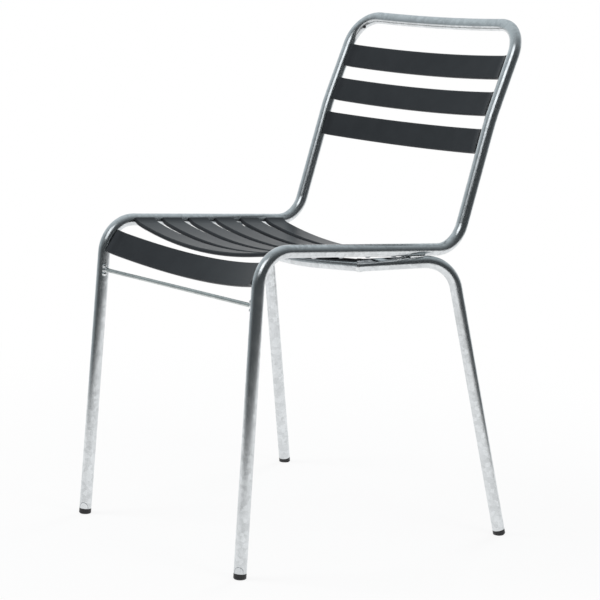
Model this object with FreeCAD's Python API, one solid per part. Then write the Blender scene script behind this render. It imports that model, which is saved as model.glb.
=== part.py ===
import FreeCAD, Part
import math
import os

from FreeCAD import Matrix, Placement, Rotation, Vector

# Metal bistro chair: a bent steel tube frame that carries ten dished slats.
# Millimetres, +Z up, the sitter faces -Y, and X = 0 is the plane of symmetry.

# Tube stock
TUBE_DIAMETER = 18.0
TUBE_WALL = 1.5

# Main frame, measured between the corners where its straight runs would meet
SEAT_CORNER_HEIGHT = 445.0
FRAME_HALF_WIDTH = 181.5
FRONT_LEG_SPLAY = 8.0
FRONT_FOOT_FORWARD = 29.5
RAIL_LENGTH = 364.0
RAIL_FALL_DEGREES = 3.8
LOWER_BACK_LENGTH = 197.0
LOWER_BACK_LEAN_DEGREES = 18.2
UPPER_BACK_LENGTH = 148.0
UPPER_BACK_LEAN_DEGREES = 24.1
TOP_RAIL_BOW = 11.0
FRAME_BEND_RADIUS = 48.0
BACK_KINK_RADIUS = 300.0

# Rear legs: each comes up outside its rail, then runs forward and inward under it
REAR_FOOT_HALF_WIDTH = 250.5
REAR_FOOT_BACK = 410.0
RAIL_CROSSING = 281.0
RUN_TOE_IN_DEGREES = 28.4
RUN_FALL_DEGREES = 2.7
RUN_BEHIND_CROSSING = 54.0
RUN_AHEAD_OF_CROSSING = 81.0
REAR_BEND_RADIUS = 48.0
RAIL_SEAT_GAP = 0.1

# Cross tube that joins the two rear legs under the seat
CROSS_TUBE_CLEARANCE = 1.0

# Round bar between the front legs
SPREADER_DIAMETER = 6.0
SPREADER_DROP = 74.0

# Slats: one strip section, three depths of dish, ends bent up a little more
SLAT_WIDTH = 37.0
SLAT_THICKNESS = 6.0
SLAT_EDGE_BEVEL = 1.5
SLAT_END_GAP = 1.0
SLAT_END_BEND_RADIUS = 36.0
SLAT_END_BEND_REACH = 14.0
SLAT_PROUD = 4.2
SEAT_SLAT_COUNT = 6
SEAT_SLAT_FIRST = 62.0
SEAT_SLAT_PITCH = 49.9
SEAT_DISH = 17.5
BACK_SLAT_COUNT = 3
BACK_SLAT_TOP = 80.6
BACK_SLAT_PITCH = 57.9
BACK_DISH = 10.5
FRONT_DISH = 22.0
FRONT_SLAT_FACE_DEGREES = 35.8
FRONT_SLAT_SEAT_DEGREES = 27.3
FRONT_SLAT_INSET = 0.3

# Steel lugs welded to the inner side of the tube, under the slat ends
LUG_WIDTH = 22.0
LUG_THICKNESS = 3.0
LUG_REACH = 20.0

# Push-in foot plugs
PLUG_CAP_HEIGHT = 8.0
PLUG_EDGE_BEVEL = 2.5
PLUG_FLAT_CUT = 1.6
PLUG_STEM_LENGTH = 22.0
PLUG_STEM_CLEARANCE = 0.1

# Weld metal
JOINT_WELD_WIDTH = 6.0
JOINT_WELD_RISE = 0.8
RAIL_WELD_RADIUS = 3.4
RAIL_WELD_LENGTH = 22.0
SPREADER_WELD_RADIUS = 5.0
SPREADER_WELD_LENGTH = 4.0
SPREADER_WELD_TIP = 0.2

# Derived sizes
TUBE_RADIUS = TUBE_DIAMETER / 2
BORE_RADIUS = TUBE_RADIUS - TUBE_WALL
SLAT_HALF_LENGTH = FRAME_HALF_WIDTH - TUBE_RADIUS - SLAT_END_GAP
CUTTER_SIZE = 4 * TUBE_DIAMETER
X_AXIS = Vector(1, 0, 0)


def unit(vector):
    """The vector at length one."""
    return vector / vector.Length


def mirrored(point):
    """The same point on the other side of the chair."""
    return Vector(-point.x, point.y, point.z)


def mirrored_shape(shape):
    """The same shape on the other side of the chair."""
    return shape.mirror(Vector(0, 0, 0), X_AXIS)


def leaning(degrees):
    """Unit vector in the side plane, this far up from straight back."""
    angle = math.radians(degrees)
    return Vector(0, math.cos(angle), math.sin(angle))


def bent_path(points, radii):
    """Wire of straight runs joined by tangent arcs, one radius for each inner point."""
    edges = []
    start = points[0]
    for index, radius in enumerate(radii, start=1):
        corner = points[index]
        incoming = unit(corner - points[index - 1])
        outgoing = unit(points[index + 1] - corner)
        half_turn = incoming.getAngle(outgoing) / 2
        setback = radius * math.tan(half_turn)
        arc_start = corner - incoming * setback
        arc_end = corner + outgoing * setback
        to_centre = unit(outgoing - incoming)
        centre = corner + to_centre * (radius / math.cos(half_turn))
        arc_middle = centre - to_centre * radius
        if (arc_start - start).Length > 1e-6:
            edges.append(Part.LineSegment(start, arc_start).toShape())
        edges.append(Part.Arc(arc_start, arc_middle, arc_end).toShape())
        start = arc_end
    edges.append(Part.LineSegment(start, points[-1]).toShape())
    return Part.Wire(edges)


def swept_disc(path, radius):
    """Solid bar of round section along a path."""
    first = path.Edges[0]
    start = first.valueAt(first.FirstParameter)
    direction = first.tangentAt(first.FirstParameter)
    disc = Part.Face(Part.Wire(Part.makeCircle(radius, start, direction)))
    return path.makePipe(disc)


def rod(start, end, radius):
    """Straight round bar between two points."""
    return Part.makeCylinder(radius, (end - start).Length, start, end - start)


def turned_to(shape, origin, axis):
    """Moves a shape made along +Z so that its origin and axis lie here."""
    moved = shape.copy()
    moved.Placement = Placement(origin, Rotation(Vector(0, 0, 1), axis))
    return moved


def half_space(point, normal):
    """Large block that fills the side of a plane to which the normal points."""
    size = CUTTER_SIZE
    block = Part.makeBox(size, size, size, Vector(-size / 2, -size / 2, 0))
    return turned_to(block, point, normal)


def on_arc(centre, radius, angle):
    """Point of an arc that hangs below its centre, this far round towards +X."""
    return centre + Vector(radius * math.sin(angle), 0, -radius * math.cos(angle))


def arc_edge(centre, radius, first, last):
    """Edge along such an arc between two angles."""
    middle = (first + last) / 2
    points = [on_arc(centre, radius, angle) for angle in (first, middle, last)]
    return Part.Arc(*points).toShape()


def slat_curve(dish):
    """Where a slat's middle arc ends, its centre and radius, and the centre of the end bend at +X."""
    reach = SLAT_HALF_LENGTH - SLAT_END_BEND_REACH
    radius = (reach ** 2 + dish ** 2) / (2 * dish)
    bend_angle = math.asin(reach / radius)
    bend_x = (radius - SLAT_END_BEND_RADIUS) * math.sin(bend_angle)
    end_angle = math.asin((SLAT_HALF_LENGTH - bend_x) / SLAT_END_BEND_RADIUS)
    bend_centre = Vector(bend_x, 0, SLAT_END_BEND_RADIUS * math.cos(end_angle))
    middle_centre = on_arc(bend_centre, SLAT_END_BEND_RADIUS - radius, bend_angle)
    return bend_angle, middle_centre, radius, bend_centre


# Main frame corners on the sitter's left (+X)
rail_direction = leaning(-RAIL_FALL_DEGREES)
lower_back_direction = leaning(90 - LOWER_BACK_LEAN_DEGREES)
upper_back_direction = leaning(90 - UPPER_BACK_LEAN_DEGREES)
front_floor_point = Vector(FRAME_HALF_WIDTH + FRONT_LEG_SPLAY, -FRONT_FOOT_FORWARD, 0)
front_corner = Vector(FRAME_HALF_WIDTH, 0, SEAT_CORNER_HEIGHT)
rear_corner = front_corner + rail_direction * RAIL_LENGTH
back_corner = rear_corner + lower_back_direction * LOWER_BACK_LENGTH
top_corner = back_corner + upper_back_direction * UPPER_BACK_LENGTH
front_leg_direction = unit(front_corner - front_floor_point)
front_leg_end = front_floor_point + front_leg_direction * PLUG_CAP_HEIGHT

# The top rail bows rearward: one long arc between the two top corners
rearward = unit(X_AXIS.cross(upper_back_direction)) * -1
bow_setback = FRAME_HALF_WIDTH - 1.15 * FRAME_BEND_RADIUS
bow_apex = TOP_RAIL_BOW / (1 - bow_setback / (2 * FRAME_HALF_WIDTH))
top_middle = Vector(0, top_corner.y, top_corner.z) + rearward * bow_apex
bow_radius = bow_setback / (bow_apex / FRAME_HALF_WIDTH)

left_side = [front_leg_end, front_corner, rear_corner, back_corner, top_corner]
right_side = [mirrored(point) for point in reversed(left_side)]
side_radii = [FRAME_BEND_RADIUS, FRAME_BEND_RADIUS, BACK_KINK_RADIUS, FRAME_BEND_RADIUS]
frame_path = bent_path(left_side + [top_middle] + right_side, side_radii + [bow_radius] + side_radii[::-1])
frame_bar = swept_disc(frame_path, TUBE_RADIUS)
frame_tube = frame_bar.cut(swept_disc(frame_path, BORE_RADIUS))


# Rear leg on +X: the run touches the underside of the rail where the two cross
toe_in = math.radians(RUN_TOE_IN_DEGREES)
run_fall = math.radians(RUN_FALL_DEGREES)
run_direction = Vector(
    math.cos(run_fall) * math.sin(toe_in),
    math.cos(run_fall) * math.cos(toe_in),
    math.sin(run_fall),
)
under_rail = unit(run_direction.cross(rail_direction))
if under_rail.z > 0:
    under_rail = under_rail * -1
rail_point = front_corner + rail_direction * RAIL_CROSSING
run_point = rail_point + under_rail * (TUBE_DIAMETER + RAIL_SEAT_GAP)
leg_corner = run_point + run_direction * RUN_BEHIND_CROSSING
cross_joint = run_point - run_direction * RUN_AHEAD_OF_CROSSING
rear_floor_point = Vector(REAR_FOOT_HALF_WIDTH, REAR_FOOT_BACK, 0)
rear_leg_direction = unit(leg_corner - rear_floor_point)
rear_leg_end = rear_floor_point + rear_leg_direction * PLUG_CAP_HEIGHT

# The cross tube dips just enough to pass below the middle of the dished slats
seat_normal = X_AXIS.cross(rail_direction)
slat_arc_centre, slat_arc_radius = slat_curve(SEAT_DISH)[1:3]
slat_depth = slat_arc_radius - slat_arc_centre.z + SLAT_THICKNESS
rail_height_at_joint = front_corner.z + rail_direction.z / rail_direction.y * cross_joint.y
slat_underside = rail_height_at_joint + (SLAT_PROUD - slat_depth) / seat_normal.z
dip_height = slat_underside - CROSS_TUBE_CLEARANCE - TUBE_RADIUS
dip_centre_height = dip_height + slat_arc_radius
to_joint = math.hypot(cross_joint.x, dip_centre_height - cross_joint.z)
dip_angle = math.asin(slat_arc_radius / to_joint)
dip_angle -= math.atan2(dip_centre_height - cross_joint.z, cross_joint.x)
dip_corner_height = dip_centre_height - slat_arc_radius / math.cos(dip_angle)
dip_corner = Vector(0, cross_joint.y, dip_corner_height)
cross_direction = unit(dip_corner - cross_joint)

# The tubes meet at a mitre in the plane that halves the corner
mitre_normal = unit(cross_direction - run_direction)
leg_overrun = cross_joint - run_direction * TUBE_DIAMETER
leg_path = bent_path([rear_leg_end, leg_corner, leg_overrun], [REAR_BEND_RADIUS])
cross_overrun = cross_joint - cross_direction * TUBE_DIAMETER
cross_path = bent_path([cross_overrun, dip_corner, mirrored(cross_overrun)], [slat_arc_radius])
past_mitre = half_space(cross_joint, mitre_normal)
before_mitre = half_space(cross_joint, mitre_normal * -1)


def leg_bar(radius):
    """Rear leg as a solid bar, cut at the mitre."""
    return swept_disc(leg_path, radius).cut(past_mitre)


def cross_bar(radius):
    """Cross tube as a solid bar, cut at both mitres."""
    bar = swept_disc(cross_path, radius).cut(before_mitre)
    return bar.cut(mirrored_shape(before_mitre))


rear_leg_bar = leg_bar(TUBE_RADIUS)
rear_leg_tube = rear_leg_bar.cut(leg_bar(BORE_RADIUS))
cross_tube_bar = cross_bar(TUBE_RADIUS)
cross_tube = cross_tube_bar.cut(cross_bar(BORE_RADIUS))

# Front spreader bar, its ends shaped to the legs
spreader_end = front_corner - front_leg_direction * SPREADER_DROP
spreader_bar = rod(spreader_end, mirrored(spreader_end), SPREADER_DIAMETER / 2)
spreader = spreader_bar.cut(frame_bar)


def spreader_weld():
    """Cone of weld metal round one end of the spreader bar."""
    inner_face = spreader_end - X_AXIS * TUBE_RADIUS
    tip_radius = SPREADER_DIAMETER / 2 + SPREADER_WELD_TIP
    steepness = (SPREADER_WELD_RADIUS - tip_radius) / SPREADER_WELD_LENGTH
    depth = TUBE_RADIUS / 2
    cone = Part.makeCone(
        SPREADER_WELD_RADIUS + steepness * depth,
        tip_radius,
        depth + SPREADER_WELD_LENGTH,
        inner_face + X_AXIS * depth,
        X_AXIS * -1,
    )
    return cone.cut(spreader_bar).cut(frame_bar)


def joint_weld():
    """Raised ring of weld metal round the mitre."""
    fat_radius = TUBE_RADIUS + JOINT_WELD_RISE
    half_width = mitre_normal * (JOINT_WELD_WIDTH / 2)
    leg_side = leg_bar(fat_radius).cut(half_space(cross_joint - half_width, mitre_normal * -1))
    cross_side = swept_disc(cross_path, fat_radius).cut(before_mitre)
    cross_side = cross_side.cut(half_space(cross_joint + half_width, mitre_normal))
    near_joint = Part.makeSphere(CUTTER_SIZE / 2, cross_joint)
    ring = leg_side.common(near_joint).fuse(cross_side.common(near_joint))
    return ring.cut(rear_leg_bar).cut(cross_tube_bar).removeSplitter()


def rail_welds():
    """Two beads in the crevices between the rail and the rear leg's run."""
    along = unit(rail_direction + run_direction)
    sideways = unit(along.cross(under_rail))
    contact = rail_point + under_rail * (TUBE_RADIUS + RAIL_SEAT_GAP / 2)
    beads = []
    for side in (-1, 1):
        middle = contact + sideways * (side * TUBE_RADIUS * 0.7)
        start = middle - along * (RAIL_WELD_LENGTH / 2)
        end = middle + along * (RAIL_WELD_LENGTH / 2)
        beads.append(rod(start, end, RAIL_WELD_RADIUS).cut(frame_bar).cut(rear_leg_bar))
    return beads


def foot_plug(floor_point, direction):
    """Push-in plug: bevelled cap cut level with the floor, and a stem in the bore."""
    stem_radius = BORE_RADIUS - PLUG_STEM_CLEARANCE
    cap = Part.makeCylinder(TUBE_RADIUS, PLUG_CAP_HEIGHT + PLUG_FLAT_CUT, Vector(0, 0, -PLUG_FLAT_CUT))
    rim = [edge for edge in cap.Edges if edge.BoundBox.ZMax < -PLUG_FLAT_CUT + 0.01]
    cap = cap.makeChamfer(PLUG_EDGE_BEVEL, rim)
    stem = Part.makeCylinder(stem_radius, PLUG_STEM_LENGTH, Vector(0, 0, PLUG_CAP_HEIGHT))
    plug = turned_to(cap.fuse(stem), floor_point, direction)
    return plug.cut(half_space(floor_point, Vector(0, 0, -1)))


def curve_edges(dish, offset, from_x, to_x):
    """The slat's curve at this offset below its top face; a negative start takes in both bends."""
    bend_angle, middle_centre, radius, bend_centre = slat_curve(dish)
    bend_radius = SLAT_END_BEND_RADIUS + offset
    first = math.asin(max(from_x / (radius + offset), -math.sin(bend_angle)))
    last = math.asin((to_x - bend_centre.x) / bend_radius)
    edges = [
        arc_edge(middle_centre, radius + offset, first, bend_angle),
        arc_edge(bend_centre, bend_radius, bend_angle, last),
    ]
    if from_x < 0:
        edges.insert(0, arc_edge(mirrored(bend_centre), bend_radius, -last, -bend_angle))
    return edges


def curved_strip(dish, top_offset, bottom_offset, from_x, to_x, width):
    """Strip between two offsets below the slat's top face, centred on y = 0."""
    top = curve_edges(dish, top_offset, from_x, to_x)
    bottom = curve_edges(dish, bottom_offset, from_x, to_x)
    first_end = Part.LineSegment(top[0].Vertexes[0].Point, bottom[0].Vertexes[0].Point)
    last_end = Part.LineSegment(top[-1].Vertexes[-1].Point, bottom[-1].Vertexes[-1].Point)
    edges = top + bottom + [first_end.toShape(), last_end.toShape()]
    face = Part.Face(Part.Wire(Part.sortEdges(edges)[0]))
    face.translate(Vector(0, -width / 2, 0))
    return face.extrude(Vector(0, width, 0))


def slat(dish):
    """Dished strip with bevelled long edges."""
    strip = curved_strip(dish, 0, SLAT_THICKNESS, -SLAT_HALF_LENGTH, SLAT_HALF_LENGTH, SLAT_WIDTH)
    long_edges = [edge for edge in strip.Edges if edge.Curve.TypeId == "Part::GeomCircle"]
    return strip.makeChamfer(min(SLAT_EDGE_BEVEL, 0.3 * SLAT_THICKNESS), long_edges)


def lug(dish):
    """Strip of steel that follows the slat's underside, from under the slat into the tube."""
    bottom = SLAT_THICKNESS + LUG_THICKNESS
    from_x = SLAT_HALF_LENGTH - LUG_REACH
    return curved_strip(dish, SLAT_THICKNESS, bottom, from_x, FRAME_HALF_WIDTH, LUG_WIDTH)


def seated(shape, centre, width_direction):
    """Turns a slat's own frame so that +Y runs along its width, and moves it to its place."""
    facing = X_AXIS.cross(width_direction)
    turn = Matrix(
        1, 0, 0, 0,
        0, width_direction.y, facing.y, centre.y,
        0, width_direction.z, facing.z, centre.z,
        0, 0, 0, 1,
    )
    moved = shape.copy()
    moved.Placement = Placement(turn)
    return moved


def slat_places():
    """Name, dish, middle of the top face between the ends, and width direction of each slat."""
    bend_centre = front_corner + unit(rail_direction - front_leg_direction) * (
        FRAME_BEND_RADIUS / math.cos(front_leg_direction.getAngle(rail_direction) / 2)
    )
    seat_angle = math.radians(180 - FRONT_SLAT_SEAT_DEGREES)
    from_bend = Vector(0, math.cos(seat_angle), math.sin(seat_angle))
    front_centre = bend_centre + from_bend * (FRAME_BEND_RADIUS - FRONT_SLAT_INSET)
    places = [("front_slat", FRONT_DISH, front_centre, leaning(90 - FRONT_SLAT_FACE_DEGREES))]
    for index in range(SEAT_SLAT_COUNT):
        along = front_corner + rail_direction * (SEAT_SLAT_FIRST + index * SEAT_SLAT_PITCH)
        centre = along + seat_normal * SLAT_PROUD
        places.append((f"seat_slat_{index + 1}", SEAT_DISH, centre, rail_direction))
    for index in range(BACK_SLAT_COUNT):
        height = BACK_SLAT_TOP - index * BACK_SLAT_PITCH
        direction = upper_back_direction if height > 0 else lower_back_direction
        centre = back_corner + direction * height + X_AXIS.cross(direction) * SLAT_PROUD
        places.append((f"back_slat_{index + 1}", BACK_DISH, centre, direction))
    return places


front_plug = foot_plug(front_floor_point, front_leg_direction)
rear_plug = foot_plug(rear_floor_point, rear_leg_direction)

nodes = {
    "main_frame_tube": [frame_tube],
    "rear_leg_tube_left": [rear_leg_tube],
    "rear_leg_tube_right": [mirrored_shape(rear_leg_tube)],
    "rear_cross_tube": [cross_tube],
    "front_spreader_bar": [spreader],
    "spreader_welds": [spreader_weld(), mirrored_shape(spreader_weld())],
    "cross_tube_welds": [joint_weld(), mirrored_shape(joint_weld())],
    "rail_welds": rail_welds() + [mirrored_shape(bead) for bead in rail_welds()],
    "front_foot_plugs": [front_plug, mirrored_shape(front_plug)],
    "rear_foot_plugs": [rear_plug, mirrored_shape(rear_plug)],
}

for name, dish, centre, width_direction in slat_places():
    nodes[name] = [seated(slat(dish), centre, width_direction)]
    zone = name.split("_")[0]
    left_lug = seated(lug(dish), centre, width_direction).cut(frame_bar)
    nodes.setdefault(f"{zone}_lugs_left", []).append(left_lug)
    nodes.setdefault(f"{zone}_lugs_right", []).append(mirrored_shape(left_lug))

# The origin lies on the floor, below the middle of the chair's box
whole = Part.makeCompound([solid for solids in nodes.values() for solid in solids])
to_origin = Vector(0, -whole.optimalBoundingBox(False, False).Center.y, 0)

os.makedirs("parts", exist_ok=True)
for name, solids in nodes.items():
    shape = solids[0] if len(solids) == 1 else Part.makeCompound(solids)
    shape = shape.copy()
    shape.translate(to_origin)
    shape.exportStep(f"parts/{name}.step")
    box = shape.optimalBoundingBox(False, False)
    print(f"{name}: {len(shape.Solids)} solid, valid {shape.isValid()}, volume {shape.Volume:.0f}, box {box}")
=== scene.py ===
import math

import bmesh
import bpy
from mathutils import Matrix, Vector


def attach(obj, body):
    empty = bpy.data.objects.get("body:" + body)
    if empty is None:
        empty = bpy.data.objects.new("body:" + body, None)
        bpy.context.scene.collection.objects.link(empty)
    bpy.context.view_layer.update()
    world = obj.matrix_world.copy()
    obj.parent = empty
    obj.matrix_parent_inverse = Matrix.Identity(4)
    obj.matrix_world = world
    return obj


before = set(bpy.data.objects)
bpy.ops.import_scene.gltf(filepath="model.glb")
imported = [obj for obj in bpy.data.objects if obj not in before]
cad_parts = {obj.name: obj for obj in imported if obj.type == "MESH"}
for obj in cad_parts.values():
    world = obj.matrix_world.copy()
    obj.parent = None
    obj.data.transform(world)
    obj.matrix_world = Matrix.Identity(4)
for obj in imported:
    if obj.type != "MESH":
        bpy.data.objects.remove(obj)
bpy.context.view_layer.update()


# Main frame: one steel tube bent into both front legs, the seat rails, the uprights and the
# top rail, then dipped in molten zinc. The zinc sets as faint crystals with dull and bright
# patches, and runs a little as it drains.
def zinc_coat(name, shade, roughness, crystal_size, relief):
    """Hot-dip zinc: crystals that differ in tone and gloss over a slightly wavy skin."""
    zinc = bpy.data.materials.new(name)
    zinc.use_nodes = True
    nodes, links = zinc.node_tree.nodes, zinc.node_tree.links
    steel = nodes["Principled BSDF"]
    steel.inputs["Metallic"].default_value = 1.0
    place = nodes.new("ShaderNodeTexCoord")

    crystals = nodes.new("ShaderNodeTexVoronoi")
    crystals.inputs["Scale"].default_value = 1 / crystal_size
    crystals.inputs["Randomness"].default_value = 1.0
    crystal_tone = nodes.new("ShaderNodeSeparateColor")
    clouds = nodes.new("ShaderNodeTexNoise")
    clouds.inputs["Scale"].default_value = 0.35 / crystal_size
    clouds.inputs["Detail"].default_value = 3.0
    clouds.inputs["Roughness"].default_value = 0.6
    mottle = nodes.new("ShaderNodeMix")
    mottle.data_type = "FLOAT"
    mottle.inputs["Factor"].default_value = 0.6
    tone = nodes.new("ShaderNodeValToRGB")
    tone.color_ramp.elements[0].position = 0.25
    tone.color_ramp.elements[0].color = [0.87 * value for value in shade] + [1]
    tone.color_ramp.elements[1].position = 0.75
    tone.color_ramp.elements[1].color = [1.06 * value for value in shade] + [1]
    links.new(place.outputs["Object"], crystals.inputs["Vector"])
    links.new(place.outputs["Object"], clouds.inputs["Vector"])
    links.new(crystals.outputs["Color"], crystal_tone.inputs["Color"])
    links.new(crystal_tone.outputs["Red"], mottle.inputs["A"])
    links.new(clouds.outputs["Fac"], mottle.inputs["B"])
    links.new(mottle.outputs["Result"], tone.inputs["Fac"])
    links.new(tone.outputs["Color"], steel.inputs["Base Color"])

    gloss = nodes.new("ShaderNodeMapRange")
    gloss.inputs["From Min"].default_value = 0.2
    gloss.inputs["From Max"].default_value = 0.8
    gloss.inputs["To Min"].default_value = roughness * 1.2
    gloss.inputs["To Max"].default_value = roughness * 0.8
    links.new(mottle.outputs["Result"], gloss.inputs["Value"])
    links.new(gloss.outputs["Result"], steel.inputs["Roughness"])

    skin = nodes.new("ShaderNodeTexNoise")
    skin.inputs["Scale"].default_value = 0.5 / crystal_size
    skin.inputs["Detail"].default_value = 1.0
    waviness = nodes.new("ShaderNodeBump")
    waviness.inputs["Strength"].default_value = 0.5
    waviness.inputs["Distance"].default_value = relief
    links.new(place.outputs["Object"], skin.inputs["Vector"])
    links.new(skin.outputs["Fac"], waviness.inputs["Height"])
    links.new(waviness.outputs["Normal"], steel.inputs["Normal"])
    return zinc


def coat(node_name, material):
    """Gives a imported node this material."""
    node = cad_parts[node_name]
    for material_slot in node.material_slots:
        material_slot.material = material


tube_zinc = zinc_coat(
    "tube_zinc", shade=(0.72, 0.745, 0.76), roughness=0.23, crystal_size=0.006, relief=0.00015,
)
coat("main_frame_tube", tube_zinc)

# Rear legs and cross tube: two bent tubes that run forward and inward under the seat rails,
# mitred to a shallow cross tube. The same zinced tube as the main frame.
for node_name in ("rear_leg_tube_left", "rear_leg_tube_right", "rear_cross_tube"):
    coat(node_name, tube_zinc)

# Spreader bar: a thin round steel bar between the front legs, just under the seat. It is
# welded to both legs and zinced with them, and comes out a little darker.
bar_zinc = zinc_coat(
    "bar_zinc", shade=(0.56, 0.59, 0.58), roughness=0.30, crystal_size=0.005, relief=0.0001,
)
coat("front_spreader_bar", bar_zinc)

# Welds: beads round the cross tube joints, in the crevices under the rails and round the
# ends of the spreader bar. The zinc pools on them and leaves them lumpy and bright.
weld_zinc = zinc_coat(
    "weld_zinc", shade=(0.78, 0.80, 0.81), roughness=0.26, crystal_size=0.003, relief=0.0008,
)
for node_name in ("cross_tube_welds", "rail_welds", "spreader_welds"):
    coat(node_name, weld_zinc)

# Weld lumps: drops of weld metal beside the beads, six by the crevice under each rail and
# three at each end of the spreader bar. They are zinced with the frame. Each is a small ball
# partly sunk in the steel, given by its place on the sitter's left and its radius.
rail_lumps = [
    ((0.1779, 0.0205, 0.4145), 0.0022),
    ((0.1779, 0.0246, 0.4153), 0.0024),
    ((0.1780, 0.0288, 0.4161), 0.0022),
    ((0.1781, 0.0332, 0.4170), 0.0026),
    ((0.1786, 0.0374, 0.4176), 0.0023),
    ((0.1885, 0.0611, 0.4198), 0.0022),
]
spreader_lumps = [
    ((0.1746, -0.2406, 0.3770), 0.0033),
    ((0.1748, -0.2404, 0.3654), 0.0038),
    ((0.1738, -0.2389, 0.3680), 0.0024),
]


def one_material_piece(name, form, material):
    """Turns a finished form into a piece of one material and puts it in the scene."""
    mesh = bpy.data.meshes.new(name)
    form.to_mesh(mesh)
    form.free()
    mesh.materials.append(material)
    piece = bpy.data.objects.new(name, mesh)
    bpy.context.scene.collection.objects.link(piece)
    return piece


weld_lumps = bmesh.new()
for side in (-1, 1):
    for (lump_x, lump_y, lump_z), lump_radius in rail_lumps + spreader_lumps:
        bmesh.ops.create_icosphere(
            weld_lumps, subdivisions=2, radius=lump_radius,
            matrix=Matrix.Translation((side * lump_x, lump_y, lump_z)),
        )
weld_piece = one_material_piece("weld_lumps", weld_lumps, weld_zinc)
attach(weld_piece, "root")

# Slat lugs: short flat steel strips, bent to lie under the ends of the slats and welded to
# the inner side of the tube. They are zinced with it and come out duller.
# This darker zinc is also the painted shade on the drain lips further down.
dull_zinc_and_painted_shade = zinc_coat(
    "dull_zinc_and_painted_shade", shade=(0.58, 0.60, 0.62), roughness=0.40, crystal_size=0.005, relief=0.0003,
)
for zone in ("front", "seat", "back"):
    for side in ("left", "right"):
        coat(f"{zone}_lugs_{side}", dull_zinc_and_painted_shade)

# Slat screws: one domed steel screw up through each lug into the slat, a guess at the hidden
# fixing. Each is a washer with a domed head, turned in rings about its own axis and zinced
# like the lugs. They sit in rows, square to the tilted ends of the slats.
screw_reach = 0.1615
front_screw = (-0.21770, 0.40653)
front_lean = math.radians(54.2)
front_end_tilt = math.radians(17.94)
first_seat_screw = (-0.17174, 0.43029)
seat_slat_pitch = 0.0499
seat_lean = math.radians(-3.8)
seat_end_tilt = math.radians(15.34)
top_back_screw = (0.23316, 0.67783)
back_slat_pitch = 0.0579
upper_back_lean = math.radians(65.9)
low_back_screw = (0.18960, 0.57170)
lower_back_lean = math.radians(71.8)
back_end_tilt = math.radians(11.25)

# Each row has its number of screws, the place of the first (y and z), the spacing, the lean
# of the slats from level and the tilt of their ends.
screw_rows = (
    (1, front_screw, 0, front_lean, front_end_tilt),
    (6, first_seat_screw, seat_slat_pitch, seat_lean, seat_end_tilt),
    (2, top_back_screw, -back_slat_pitch, upper_back_lean, back_end_tilt),
    (1, low_back_screw, 0, lower_back_lean, back_end_tilt),
)
screw_places = []
for count, (first_y, first_z), pitch, lean, end_tilt in screw_rows:
    facing = Vector((
        math.sin(end_tilt),
        math.sin(lean) * math.cos(end_tilt),
        -math.cos(lean) * math.cos(end_tilt),
    ))
    for number in range(count):
        screw_y = first_y + number * pitch * math.cos(lean)
        screw_z = first_z + number * pitch * math.sin(lean)
        screw_places.append((Vector((screw_reach, screw_y, screw_z)), facing))

# Half the outline of a washer and head: distance from the axis, and height along it.
head_profile = [
    (0, -0.0002), (0.005, -0.0002), (0.005, 0.0008), (0.004, 0.0009), (0.0039, 0.0016),
    (0.003, 0.0025), (0.0016, 0.003), (0.0015, 0.0018), (0, 0.0018),
]
screw_heads = bmesh.new()
for side in (-1, 1):
    mirrored = Vector((side, 1, 1))
    for place, facing in screw_places:
        before = set(screw_heads.verts)
        outline = [screw_heads.verts.new((across, 0, height)) for across, height in head_profile]
        edges = [screw_heads.edges.new(pair) for pair in zip(outline, outline[1:])]
        bmesh.ops.spin(
            screw_heads, geom=outline + edges, cent=(0, 0, 0), axis=(0, 0, 1), angle=math.tau,
            steps=16, use_merge=True,
        )
        turn = (facing * mirrored).to_track_quat("Z", "Y").to_matrix().to_4x4()
        turned = [vert for vert in screw_heads.verts if vert not in before]
        bmesh.ops.transform(
            screw_heads, matrix=Matrix.Translation(place * mirrored) @ turn, verts=turned,
        )
bmesh.ops.remove_doubles(screw_heads, verts=screw_heads.verts, dist=0.00001)
bmesh.ops.recalc_face_normals(screw_heads, faces=screw_heads.faces)
screw_piece = one_material_piece("slat_screws", screw_heads, dull_zinc_and_painted_shade)
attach(screw_piece, "root")

# Slats: dished strips with a smooth anthracite powder coat, glossy enough to catch the
# light softly. The coat lies like very fine orange peel.
slat_coat = bpy.data.materials.new("slat_coat")
slat_coat.use_nodes = True
coat_nodes, coat_links = slat_coat.node_tree.nodes, slat_coat.node_tree.links
powder = coat_nodes["Principled BSDF"]
powder.inputs["IOR"].default_value = 1.33
powder.inputs["Specular Tint"].default_value = (0.80, 0.91, 1.0, 1)
coat_place = coat_nodes.new("ShaderNodeTexCoord")
coat_tint = coat_nodes.new("ShaderNodeTexNoise")
coat_tint.inputs["Scale"].default_value = 40.0
coat_tint.inputs["Detail"].default_value = 4.0
anthracite = coat_nodes.new("ShaderNodeValToRGB")
anthracite.color_ramp.elements[0].position = 0.3
anthracite.color_ramp.elements[0].color = (0.022, 0.0235, 0.026, 1)
anthracite.color_ramp.elements[1].position = 0.7
anthracite.color_ramp.elements[1].color = (0.027, 0.029, 0.032, 1)
coat_gloss = coat_nodes.new("ShaderNodeMapRange")
coat_gloss.inputs["To Min"].default_value = 0.32
coat_gloss.inputs["To Max"].default_value = 0.40
orange_peel = coat_nodes.new("ShaderNodeTexNoise")
orange_peel.inputs["Scale"].default_value = 900.0
orange_peel.inputs["Detail"].default_value = 2.0
peel_relief = coat_nodes.new("ShaderNodeBump")
peel_relief.inputs["Strength"].default_value = 0.15
peel_relief.inputs["Distance"].default_value = 0.0001
coat_links.new(coat_place.outputs["Object"], coat_tint.inputs["Vector"])
coat_links.new(coat_tint.outputs["Fac"], anthracite.inputs["Fac"])
coat_links.new(anthracite.outputs["Color"], powder.inputs["Base Color"])
coat_links.new(coat_tint.outputs["Fac"], coat_gloss.inputs["Value"])
coat_links.new(coat_gloss.outputs["Result"], powder.inputs["Roughness"])
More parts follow.
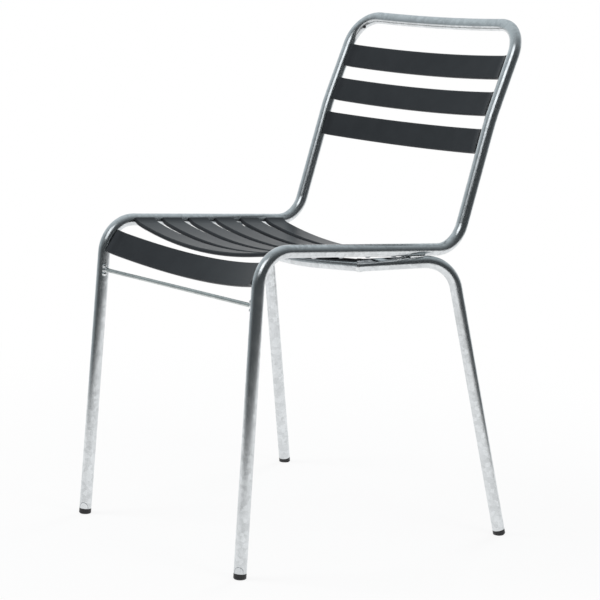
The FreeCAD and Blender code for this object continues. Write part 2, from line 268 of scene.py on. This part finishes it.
coat_links.new(coat_place.outputs["Object"], orange_peel.inputs["Vector"])
coat_links.new(orange_peel.outputs["Fac"], peel_relief.inputs["Height"])
coat_links.new(peel_relief.outputs["Normal"], powder.inputs["Normal"])
slat_names = ["front_slat"]
slat_names += [f"seat_slat_{number}" for number in range(1, 7)]
slat_names += [f"back_slat_{number}" for number in range(1, 4)]
for node_name in slat_names:
    coat(node_name, slat_coat)

# Foot plugs: moulded black plastic caps with stems, pushed into the ends of the four legs
# and scuffed dull in patches.
plug_plastic = bpy.data.materials.new("plug_plastic")
plug_plastic.use_nodes = True
plug_nodes, plug_links = plug_plastic.node_tree.nodes, plug_plastic.node_tree.links
moulded = plug_nodes["Principled BSDF"]
plug_place = plug_nodes.new("ShaderNodeTexCoord")
scuffs = plug_nodes.new("ShaderNodeTexNoise")
scuffs.inputs["Scale"].default_value = 300.0
scuffs.inputs["Detail"].default_value = 6.0
plug_tone = plug_nodes.new("ShaderNodeValToRGB")
plug_tone.color_ramp.elements[0].color = (0.008, 0.008, 0.009, 1)
plug_tone.color_ramp.elements[1].color = (0.022, 0.022, 0.023, 1)
plug_gloss = plug_nodes.new("ShaderNodeMapRange")
plug_gloss.inputs["To Min"].default_value = 0.40
plug_gloss.inputs["To Max"].default_value = 0.62
plug_relief = plug_nodes.new("ShaderNodeBump")
plug_relief.inputs["Strength"].default_value = 0.3
plug_relief.inputs["Distance"].default_value = 0.0001
plug_links.new(plug_place.outputs["Object"], scuffs.inputs["Vector"])
plug_links.new(scuffs.outputs["Fac"], plug_tone.inputs["Fac"])
plug_links.new(plug_tone.outputs["Color"], moulded.inputs["Base Color"])
plug_links.new(scuffs.outputs["Fac"], plug_gloss.inputs["Value"])
plug_links.new(plug_gloss.outputs["Result"], moulded.inputs["Roughness"])
plug_links.new(scuffs.outputs["Fac"], plug_relief.inputs["Height"])
plug_links.new(plug_relief.outputs["Normal"], moulded.inputs["Normal"])
for node_name in ("front_foot_plugs", "rear_foot_plugs"):
    coat(node_name, plug_plastic)

# Vent hole shade: a small flattened black ball, partly sunk in the tube at the vent hole on the
# inner side of the top bend on the sitter's right. Its black is painted shade that stands in
# for the dark inside of the open hole, and it takes the plug plastic.
vent_place = Vector((-0.15944, 0.24441, 0.72628))
vent_facing = Vector((0.662, -0.476, -0.579))
vent_radius = 0.0028
vent_flatness = 0.35
vent_turn = vent_facing.to_track_quat("Z", "Y").to_matrix().to_4x4()
flattened = Matrix.Diagonal((1, 1, vent_flatness, 1))
vent_hole_shade = bmesh.new()
bmesh.ops.create_uvsphere(
    vent_hole_shade, u_segments=20, v_segments=10, radius=vent_radius,
    matrix=Matrix.Translation(vent_place) @ vent_turn @ flattened,
)
# The black ball is painted shade for the inside of the vent hole.
vent_piece = one_material_piece("vent_hole_shade", vent_hole_shade, plug_plastic)
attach(vent_piece, "root")

# Drain lips: an arched lip of zinc on the outer side of each front leg, just above its plug,
# where the molten zinc ran out of the tube. A thin half ring is wrapped round the leg's
# surface, then turned to the flank and leant with the leg. The lips take the darker zinc as
# painted shade, drawing the shaded edge of each lip as a dark line.
leg_radius = 0.009
lip_radius = 0.0005
arch_radius = 0.0073
arch_foot_height = 0.0086
arch_stretch = 1.2
foot_across, foot_along = 0.1895, -0.2624
leg_inward, leg_backward, leg_upward = -0.0179, 0.0661, 0.9976
flank_heading = math.radians(36)
drain_lips = bmesh.new()
for side in (-1, 1):
    before = set(drain_lips.verts)
    lip_end = bmesh.ops.create_circle(
        drain_lips, cap_ends=True, segments=6, radius=lip_radius,
        matrix=Matrix.Translation((arch_radius, 0, 0)),
    )
    end_faces = list({face for vert in lip_end["verts"] for face in vert.link_faces})
    end_edges = list({edge for vert in lip_end["verts"] for edge in vert.link_edges})
    bmesh.ops.spin(
        drain_lips, geom=lip_end["verts"] + end_edges + end_faces, cent=(0, 0, 0), axis=(0, -1, 0),
        angle=math.pi, steps=16, use_merge=False,
    )
    arch = [vert for vert in drain_lips.verts if vert not in before]
    for vert in arch:
        around = vert.co.x / leg_radius
        reach = leg_radius + vert.co.y
        height = arch_foot_height + arch_stretch * vert.co.z
        vert.co = Vector((reach * math.sin(around), -reach * math.cos(around), height))
    leg_foot = Matrix.Translation((side * foot_across, foot_along, 0))
    leg_direction = Vector((side * leg_inward, leg_backward, leg_upward))
    leg_lean = Vector((0, 0, 1)).rotation_difference(leg_direction).to_matrix().to_4x4()
    flank_turn = Matrix.Rotation(flank_heading, 4, "Z")
    bmesh.ops.transform(drain_lips, matrix=leg_foot @ leg_lean @ flank_turn, verts=arch)
bmesh.ops.recalc_face_normals(drain_lips, faces=drain_lips.faces)
# The darker zinc on the lips is painted shade: a dark line for the shaded edge of each lip.
drain_piece = one_material_piece("drain_lips", drain_lips, dull_zinc_and_painted_shade)
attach(drain_piece, "root")

# Studio floor: a round pale sheet that keeps the chair's soft shadow near the feet and fades
# to the white of the room towards its rim.
floor_radius = 1.4
pale = bpy.data.materials.new("pale_floor")
pale.use_nodes = True
pale_nodes, pale_links = pale.node_tree.nodes, pale.node_tree.links
pale_nodes.remove(pale_nodes["Principled BSDF"])
matt = pale_nodes.new("ShaderNodeBsdfDiffuse")
matt.inputs["Color"].default_value = (0.9, 0.9, 0.9, 1)
glow = pale_nodes.new("ShaderNodeEmission")
glow.inputs["Strength"].default_value = 1.0
rays = pale_nodes.new("ShaderNodeLightPath")
seen = pale_nodes.new("ShaderNodeMath")
seen.operation = "MAXIMUM"
sheet_place = pale_nodes.new("ShaderNodeTexCoord")
from_middle = pale_nodes.new("ShaderNodeVectorMath")
from_middle.operation = "LENGTH"
fade = pale_nodes.new("ShaderNodeMapRange")
fade.interpolation_type = "SMOOTHSTEP"
fade.inputs["From Min"].default_value = 0.3
fade.inputs["From Max"].default_value = 1.35
fade.inputs["To Min"].default_value = 0.86
fade.inputs["To Max"].default_value = 1.0
white_share = pale_nodes.new("ShaderNodeMath")
white_share.operation = "MULTIPLY"
either = pale_nodes.new("ShaderNodeMixShader")
pale_links.new(rays.outputs["Is Camera Ray"], seen.inputs[0])
pale_links.new(rays.outputs["Is Glossy Ray"], seen.inputs[1])
pale_links.new(sheet_place.outputs["Object"], from_middle.inputs[0])
pale_links.new(from_middle.outputs["Value"], fade.inputs["Value"])
pale_links.new(seen.outputs["Value"], white_share.inputs[0])
pale_links.new(fade.outputs["Result"], white_share.inputs[1])
pale_links.new(white_share.outputs["Value"], either.inputs["Fac"])
pale_links.new(matt.outputs["BSDF"], either.inputs[1])
pale_links.new(glow.outputs["Emission"], either.inputs[2])
pale_links.new(either.outputs["Shader"], pale_nodes["Material Output"].inputs["Surface"])
floor_form = bmesh.new()
bmesh.ops.create_circle(floor_form, cap_ends=True, segments=96, radius=floor_radius)
floor = one_material_piece("studio_floor", floor_form, pale)

# Studio light: a bright even room, a large soft lamp above and to the left of the view, a
# weaker one on the right, and one behind for the edges of the tubes.
room = bpy.data.worlds.new("studio_room")
bpy.context.scene.world = room
room.use_nodes = True
room_nodes, room_links = room.node_tree.nodes, room.node_tree.links
room_light = room_nodes["Background"]
room_light.inputs["Color"].default_value = (0.55, 0.56, 0.57, 1)
room_light.inputs["Strength"].default_value = 1.0
room_white = room_nodes.new("ShaderNodeBackground")
room_white.inputs["Color"].default_value = (1, 1, 1, 1)
room_white.inputs["Strength"].default_value = 1.0
room_rays = room_nodes.new("ShaderNodeLightPath")
room_seen = room_nodes.new("ShaderNodeMath")
room_seen.operation = "MAXIMUM"
room_mix = room_nodes.new("ShaderNodeMixShader")
room_links.new(room_rays.outputs["Is Camera Ray"], room_seen.inputs[0])
room_links.new(room_rays.outputs["Is Glossy Ray"], room_seen.inputs[1])
room_links.new(room_seen.outputs["Value"], room_mix.inputs["Fac"])
room_links.new(room_light.outputs["Background"], room_mix.inputs[1])
room_links.new(room_white.outputs["Background"], room_mix.inputs[2])
room_links.new(room_mix.outputs["Shader"], room_nodes["World Output"].inputs["Surface"])

chair_middle = Vector((0, 0, 0.4))
for name, place, size, power in (
    ("lamp_left", (-1.6, -2.2, 2.2), 1.4, 40),
    ("lamp_right", (2.6, 0.4, 1.6), 1.2, 16),
    ("lamp_behind", (-0.8, 2.6, 1.8), 1.2, 24),
):
    lamp_data = bpy.data.lights.new(name, "AREA")
    lamp_data.shape = "SQUARE"
    lamp_data.size = size
    lamp_data.energy = power
    lamp = bpy.data.objects.new(name, lamp_data)
    lamp.location = place
    lamp.rotation_euler = (chair_middle - Vector(place)).to_track_quat("-Z", "Y").to_euler()
    lamp.visible_glossy = False
    bpy.context.scene.collection.objects.link(lamp)

# Studio dome: surroundings that only the metal and the glossy coat show. It is dark on the
# near side, grows lighter overhead and is open to the white background behind the chair. Its
# headings are degrees round the chair from the front.
dome_radius = 3.3
dome_foot = -0.6
opening_start, opening_end, opening_top = 170, 268, 1.4
lightest_way = Vector((-0.75, 0.35, 0.55))


def glowing_paint(name, colour):
    """A glowing paint that isn't sampled as a lamp, and the node that sets its brightness."""
    paint = bpy.data.materials.new(name)
    paint.use_nodes = True
    paint.cycles.emission_sampling = "NONE"
    nodes, links = paint.node_tree.nodes, paint.node_tree.links
    nodes.remove(nodes["Principled BSDF"])
    glow = nodes.new("ShaderNodeEmission")
    glow.inputs["Color"].default_value = colour
    links.new(glow.outputs["Emission"], nodes["Material Output"].inputs["Surface"])
    return paint, glow


def show_in_reflections_only(board):
    """Hides a board from the camera, from matt surfaces and from shadows."""
    board.visible_camera = False
    board.visible_diffuse = False
    board.visible_shadow = False


dome_paint, dome_glow = glowing_paint("studio_dome", (0.87, 0.96, 1.0, 1))
dome_nodes, dome_links = dome_paint.node_tree.nodes, dome_paint.node_tree.links
dome_place = dome_nodes.new("ShaderNodeTexCoord")
dome_way = dome_nodes.new("ShaderNodeVectorMath")
dome_way.operation = "DOT_PRODUCT"
dome_way.inputs[1].default_value = lightest_way / dome_radius
dome_tone = dome_nodes.new("ShaderNodeMapRange")
dome_tone.interpolation_type = "SMOOTHSTEP"
dome_tone.inputs["From Min"].default_value = -0.45
dome_tone.inputs["From Max"].default_value = 1.25
dome_tone.inputs["To Min"].default_value = 0.07
dome_tone.inputs["To Max"].default_value = 0.75
dome_links.new(dome_place.outputs["Object"], dome_way.inputs[0])
dome_links.new(dome_way.outputs["Value"], dome_tone.inputs["Value"])
dome_links.new(dome_tone.outputs["Result"], dome_glow.inputs["Strength"])
dome_form = bmesh.new()
bmesh.ops.create_uvsphere(dome_form, u_segments=72, v_segments=36, radius=dome_radius)
opening = []
for face in dome_form.faces:
    middle = face.calc_center_median()
    heading = math.degrees(math.atan2(middle.x, -middle.y)) % 360
    behind_chair = opening_start < heading < opening_end and middle.z < opening_top
    if behind_chair or middle.z < dome_foot:
        opening.append(face)
bmesh.ops.delete(dome_form, geom=opening, context="FACES")
dome = one_material_piece("studio_dome", dome_form, dome_paint)
show_in_reflections_only(dome)

# Bright panel: a soft box high in front of the chair, aimed at its middle. Like the dome, only
# reflections show it.
panel_place = Vector((0.95, -1.70, 2.25))
panel_width, panel_height = 1.8, 1.5
panel_paint, panel_glow = glowing_paint("bright_panel", (0.95, 0.98, 1.0, 1))
panel_glow.inputs["Strength"].default_value = 1.5
panel_aim = (chair_middle - panel_place).to_track_quat("Z", "Y").to_matrix().to_4x4()
panel_form = bmesh.new()
bmesh.ops.create_grid(panel_form, x_segments=1, y_segments=1, size=0.5)
bmesh.ops.scale(panel_form, vec=(panel_width, panel_height, 1), verts=panel_form.verts)
aimed = Matrix.Translation(panel_place) @ panel_aim
bmesh.ops.transform(panel_form, matrix=aimed, verts=panel_form.verts)
panel = one_material_piece("bright_panel", panel_form, panel_paint)
show_in_reflections_only(panel)

# Camera: a long lens from the front left of the sitter, a little above the seat, as in
# the photograph, rolled by a degree and a half.
camera_place = Vector((2.10895, -1.7826, 0.82234))
azimuth, elevation, roll = math.radians(49.94), math.radians(10.11), math.radians(1.5)
backward = Vector((
    math.sin(azimuth) * math.cos(elevation),
    -math.cos(azimuth) * math.cos(elevation),
    math.sin(elevation),
))
level_right = Vector((0, 0, 1)).cross(backward).normalized()
level_up = backward.cross(level_right)
right = level_right * math.cos(roll) + level_up * math.sin(roll)
up = level_up * math.cos(roll) - level_right * math.sin(roll)
camera_data = bpy.data.cameras.new("photograph_view")
camera_data.sensor_width = 36.0
camera_data.lens = 112.96
camera = bpy.data.objects.new("photograph_view", camera_data)
turn = Matrix((right, up, backward)).transposed()
camera.matrix_world = Matrix.Translation(camera_place) @ turn.to_4x4()
bpy.context.scene.collection.objects.link(camera)
bpy.context.scene.camera = camera
bpy.context.scene.view_settings.view_transform = "Standard"
